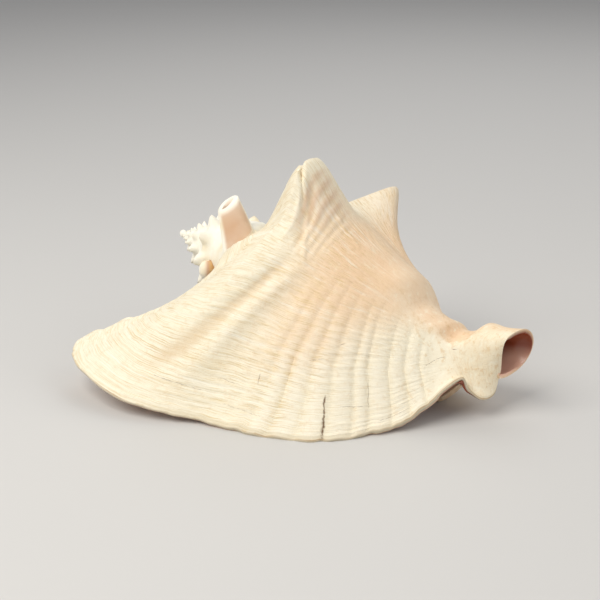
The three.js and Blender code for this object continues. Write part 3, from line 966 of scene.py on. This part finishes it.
class Nodes:
    """Short ways to add shader nodes to one material."""

    def __init__(self, material):
        self.tree = material.node_tree

    def add(self, kind, **settings):
        node = self.tree.nodes.new(kind)
        for key, value in settings.items():
            setattr(node, key, value)
        return node

    def feed(self, socket, value):
        if isinstance(value, bpy.types.NodeSocket):
            self.tree.links.new(value, socket)
        else:
            socket.default_value = value

    def field(self, name):
        return self.add("ShaderNodeAttribute", attribute_name=name).outputs["Fac"]

    def math(self, operation, a, b=0.0):
        node = self.add("ShaderNodeMath", operation=operation)
        self.feed(node.inputs[0], a)
        self.feed(node.inputs[1], b)
        return node.outputs[0]

    def times(self, first, *others):
        for other in others:
            first = self.math("MULTIPLY", first, other)
        return first

    def plus(self, first, *others):
        for other in others:
            first = self.math("ADD", first, other)
        return first

    def ramp(self, value, low, high, to_low=0.0, to_high=1.0):
        node = self.add("ShaderNodeMapRange", interpolation_type="SMOOTHSTEP")
        names = ("Value", "From Min", "From Max", "To Min", "To Max")
        for name, setting in zip(names, (value, low, high, to_low, to_high)):
            self.feed(node.inputs[name], setting)
        return node.outputs[0]

    def paint(self, color, new_color, *shares):
        """Mixes another colour into one, as far as the product of the shares says."""
        node = self.add("ShaderNodeMix", data_type="RGBA")
        self.feed(node.inputs["Factor"], self.times(*shares))
        self.feed(node.inputs[6], color)
        self.feed(node.inputs[7], new_color)
        return node.outputs[2]

    def vector(self, x, y, z):
        node = self.add("ShaderNodeCombineXYZ")
        for socket, value in zip(node.inputs, (x, y, z)):
            self.feed(socket, value)
        return node.outputs[0]

    def noise(self, vector, scale, detail=3.0, roughness=0.55):
        node = self.add("ShaderNodeTexNoise")
        self.feed(node.inputs["Vector"], vector)
        node.inputs["Scale"].default_value = scale
        node.inputs["Detail"].default_value = detail
        node.inputs["Roughness"].default_value = roughness
        return node.outputs["Fac"]


def surface_values(n):
    """The fields stored on the mesh, and the noises that the colours and the bumps share."""
    names = ("growth", "line", "inside", "spire", "relief", "edge", "stain")
    v = SimpleNamespace(**{name: n.field(name) for name in names})
    v.pace = n.ramp(n.field("pace"), 0.15, 0.8)
    v.position = n.add("ShaderNodeTexCoord").outputs["Object"]
    drift = n.noise(v.position, 60, 2)
    grown = n.plus(n.times(v.growth, 1.15), n.times(drift, 3.0))
    across = n.times(v.line, 260)
    v.streaks = n.noise(n.vector(n.times(grown, 0.45), n.times(across, 0.03), v.inside), 1.0, 4)
    v.lines = n.noise(n.vector(n.times(grown, 1.3), n.times(across, 0.05), v.inside), 1.0, 4, 0.65)
    v.threads = n.noise(n.vector(n.times(grown, 2.6), n.times(across, 0.09), v.spire), 1.0, 3, 0.6)
    v.rings = n.noise(n.vector(n.times(across, 0.8), n.times(v.growth, 0.05), drift), 1.0, 4, 0.65)
    v.ringed = n.ramp(v.line, 0.76, 0.86)
    v.patches = n.noise(v.position, 35, 3)
    v.blotches = n.noise(v.position, 14, 3)
    v.speckles = n.noise(v.position, 260, 5, 0.7)
    v.grain = n.noise(v.position, 900, 2)
    return v


def growth_colors(n, v):
    """Cream with a peach blush on the body, and darker and paler lines along the growth."""
    fading = n.plus(v.growth, n.times(n.math("MAXIMUM", n.math("SUBTRACT", v.line, 0.45), 0.0), 150))
    body = n.times(n.ramp(v.line, 0.26, 0.44), n.ramp(fading, 105, 62))
    blush = n.times(n.plus(n.times(body, 0.68), 0.08), n.ramp(v.blotches, 0.3, 0.6, 0.55, 1.1))
    calm = n.times(v.pace, n.ramp(v.line, 0.42, 0.58, 1.0, 0.5))
    color = n.paint(CREAM, BLUSH, blush)
    patchy = n.ramp(v.patches, 0.35, 0.65, 0.1, 0.4)
    color = n.paint(color, STREAK, n.ramp(v.streaks, 0.5, 0.68), patchy, calm)
    patchy = n.ramp(v.patches, 0.62, 0.38, 0.2, 0.6)
    color = n.paint(color, FINE_LINE, n.ramp(v.lines, 0.52, 0.66), patchy, calm)
    patchy = n.ramp(v.blotches, 0.4, 0.6, 0.4, 0.75)
    color = n.paint(color, THREAD, n.ramp(v.threads, 0.52, 0.64), patchy, calm)
    return n.paint(color, PALE, n.ramp(v.streaks, 0.46, 0.3), calm, 0.5)


def form_colors(n, v, color):
    """Painted highlight on raised crests, painted shade in hollows, the pale spire, the stained places with
    their painted shade, and the ringed neck of the canal.
    """
    # painted highlight on the raised crests of the relief, painted shade in its hollows
    color = n.paint(color, PAINTED_CREST_HIGHLIGHT, n.ramp(v.relief, 0.5, 1.6), 0.35)
    color = n.paint(color, PAINTED_HOLLOW_SHADE, n.ramp(v.relief, -0.4, -1.7), 0.45)
    color = n.paint(color, n.paint(PALE, SPIRE_PATCH, n.ramp(v.patches, 0.5, 0.68)), v.spire)
    # tan stains, partly painted shade on the main spine's front, and painted shade in the stump's hole
    stain = n.times(v.stain, n.ramp(v.patches, 0.3, 0.6, 0.75, 1.0))
    color = n.paint(color, TAN_STAIN_AND_SHADE, stain)
    color = n.paint(color, YELLOW_STAIN, n.ramp(stain, 1.0, 1.9))
    color = n.paint(color, NECK, n.ramp(v.line, 0.74, 0.86), n.ramp(v.patches, 0.35, 0.65, 0.0, 0.35))
    return n.paint(color, NECK_RING, n.ramp(v.rings, 0.5, 0.66, 0.0, 0.25), v.ringed)


def worn_colors(n, v, color):
    """Fine speckles, painted shade on the face of the lip's margin, the worn band along the margin and the
    dirt on its edge.
    """
    speckled = n.times(n.ramp(v.line, 0.6, 0.8, 0.4, 1.0), n.ramp(v.spire, 1.0, 0.0, 0.3, 1.0))
    color = n.paint(color, DARK_SPECKLE, n.ramp(v.speckles, 0.52, 0.66, 0.0, 0.45), speckled)
    color = n.paint(color, PALE_SPECKLE, n.ramp(v.speckles, 0.47, 0.32, 0.0, 0.6), speckled)
    # painted shade on the margin's edge face, which turns down and away from the light
    color = n.paint(color, PAINTED_EDGE_FACE_SHADE, n.ramp(v.edge, 0.2, 0.7))
    worn = n.ramp(n.plus(v.growth, n.times(v.patches, 4.0)), 122.5, 124.0, 0.0, 0.5)
    color = n.paint(color, WORN_EDGE, worn, n.ramp(v.line, 0.22, 0.32))
    margin = n.times(n.ramp(v.edge, 0.0, 0.3), n.ramp(v.edge, 0.62, 0.35))
    return n.paint(color, EDGE_DIRT, margin, n.ramp(v.patches, 0.42, 0.62, 0.1, 0.7))


def lining_color(n, v):
    """The pink lining, deeper red down the throat with painted shade there, and painted shade on the upper
    side of the canal with painted light on its lower side.
    """
    lining = n.paint(LIP_LINING, THROAT, n.ramp(v.growth, 118, 60))
    # deeper red and painted shade far down the throat
    lining = n.paint(lining, DEEP_THROAT_RED_AND_SHADE, n.ramp(v.growth, 40, -60))
    # painted shade on the canal's upper side, painted light on its lower side
    canal = n.paint(CANAL_SHADED_LINING, CANAL_LIT_LINING, n.ramp(v.growth, -80, -130))
    return n.paint(lining, canal, n.ramp(v.line, 0.72, 0.84))


def stroke(n, x, y, start, end, width):
    """1 on a thin straight stroke between two places on the lip, fading at its ends."""
    length = math.dist(start, end)
    way_x, way_y = (end[0] - start[0]) / length, (end[1] - start[1]) / length
    dx, dy = n.math("SUBTRACT", x, start[0]), n.math("SUBTRACT", y, start[1])
    onward = n.plus(n.times(dx, way_x), n.times(dy, way_y))
    aside = n.math("SUBTRACT", n.times(dx, way_y), n.times(dy, way_x))
    ends = n.times(n.ramp(onward, -0.5, 1.5), n.ramp(onward, length - 2, length + 1, 1.0, 0.0))
    return n.times(n.ramp(n.math("ABSOLUTE", aside), 0.0, width, 1.0, 0.0), ends)


def crack_colors(n, v, color):
    """The lip's dark cracks: thin, slightly wavering strokes that break off here and there."""
    wobble = n.times(n.math("SUBTRACT", n.noise(v.position, 300, 2), 0.5), 1.6)
    x = n.plus(n.times(v.line, MM_PER_T), wobble)
    y = n.plus(n.times(v.growth, MM_PER_DEGREE), wobble)
    breaks = n.ramp(n.noise(v.position, 500, 2), 0.36, 0.56, 0.25, 1.0)
    shown = n.times(breaks, n.ramp(v.inside, 0.6, 0.2))
    for line_a, growth_a, line_b, growth_b, width, strength in CRACKS:
        start = (line_a * MM_PER_T, growth_a * MM_PER_DEGREE)
        end = (line_b * MM_PER_T, growth_b * MM_PER_DEGREE)
        color = n.paint(color, CRACK, stroke(n, x, y, start, end, width), shown, strength)
    return color


def bump_height(n, v):
    """Height of the fine grain: along the growth lines, round the neck, and none inside."""
    fine = n.times(n.plus(v.grain, v.threads), 0.25)
    height = n.plus(n.times(v.lines, 0.7), n.times(v.streaks, 0.5), fine)
    height = n.times(height, n.times(v.pace, n.ramp(v.spire, 0.0, 1.0, 1.0, 0.3)))
    height = n.plus(height, n.times(v.rings, v.ringed, 0.5))
    height = n.plus(height, n.times(v.speckles, n.ramp(v.line, 0.6, 0.78, 0.2, 0.9)))
    return n.times(height, n.ramp(v.inside, 1.0, 0.5))


def shell_material():
    """Chalky and lined outside, glossy and pink inside."""
    material = bpy.data.materials.new("shell")
    material.use_nodes = True
    n = Nodes(material)
    v = surface_values(n)
    shader = material.node_tree.nodes["Principled BSDF"]
    color = worn_colors(n, v, form_colors(n, v, growth_colors(n, v)))
    color = n.paint(color, lining_color(n, v), v.inside)
    n.feed(shader.inputs["Base Color"], crack_colors(n, v, color))
    rough = n.ramp(v.lines, 0.3, 0.7, 0.5, 0.68)
    n.feed(shader.inputs["Roughness"], n.ramp(v.inside, 0.4, 1.0, rough, LINING_ROUGHNESS))
    bump_node = n.add("ShaderNodeBump")
    bump_node.inputs["Strength"].default_value = BUMP_STRENGTH
    bump_node.inputs["Distance"].default_value = BUMP_DISTANCE
    n.feed(bump_node.inputs["Height"], bump_height(n, v))
    n.feed(shader.inputs["Normal"], bump_node.outputs["Normal"])
    return material


shell = shell_object()
shell.data.materials.clear()
shell.data.materials.append(shell_material())
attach(shell, "root")
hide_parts("conch_shell")


# Floor, camera and light


def floor_object():
    """A plain grey floor."""
    mesh = bpy.data.meshes.new("floor")
    corners = [(x * FLOOR_HALF, y * FLOOR_HALF, 0) for x, y in ((-1, -1), (1, -1), (1, 1), (-1, 1))]
    mesh.from_pydata(corners, [], [(0, 1, 2, 3)])
    material = bpy.data.materials.new("floor")
    material.use_nodes = True
    shader = material.node_tree.nodes["Principled BSDF"]
    shader.inputs["Base Color"].default_value = FLOOR_COLOR
    shader.inputs["Roughness"].default_value = FLOOR_ROUGHNESS
    mesh.materials.append(material)
    obj = bpy.data.objects.new("floor", mesh)
    bpy.context.scene.collection.objects.link(obj)
    return obj


def direction(azimuth, elevation):
    """From the shell's middle towards a camera or a light."""
    a, e = math.radians(azimuth), math.radians(elevation)
    return Vector((math.sin(a) * math.cos(e), -math.cos(a) * math.cos(e), math.sin(e)))


def aimed_object(name, data, azimuth, elevation, distance):
    """A camera or a light that looks at the shell's middle."""
    away = direction(azimuth, elevation)
    obj = bpy.data.objects.new(name, data)
    obj.location = TARGET + distance * away
    obj.rotation_euler = away.to_track_quat("Z", "Y").to_euler()
    bpy.context.scene.collection.objects.link(obj)
    return obj


floor = floor_object()

camera_data = bpy.data.cameras.new("camera")
camera_data.lens = LENS
camera_data.sensor_width = SENSOR
camera_data.clip_start = 0.01
camera = aimed_object("camera", camera_data, AZIMUTH, ELEVATION, DISTANCE)
bpy.context.scene.camera = camera

for name, azimuth, elevation, distance, size, power, color in LIGHTS:
    light_data = bpy.data.lights.new(name, "AREA")
    light_data.size = size
    light_data.energy = power
    light_data.color = color
    aimed_object(name, light_data, azimuth, elevation, distance)

world = bpy.data.worlds.new("world")
bpy.context.scene.world = world
world.use_nodes = True
world.node_tree.nodes["Background"].inputs["Color"].default_value = SKY_COLOR
world.node_tree.nodes["Background"].inputs["Strength"].default_value = SKY_STRENGTH
bpy.context.scene.view_settings.view_transform = "Standard"
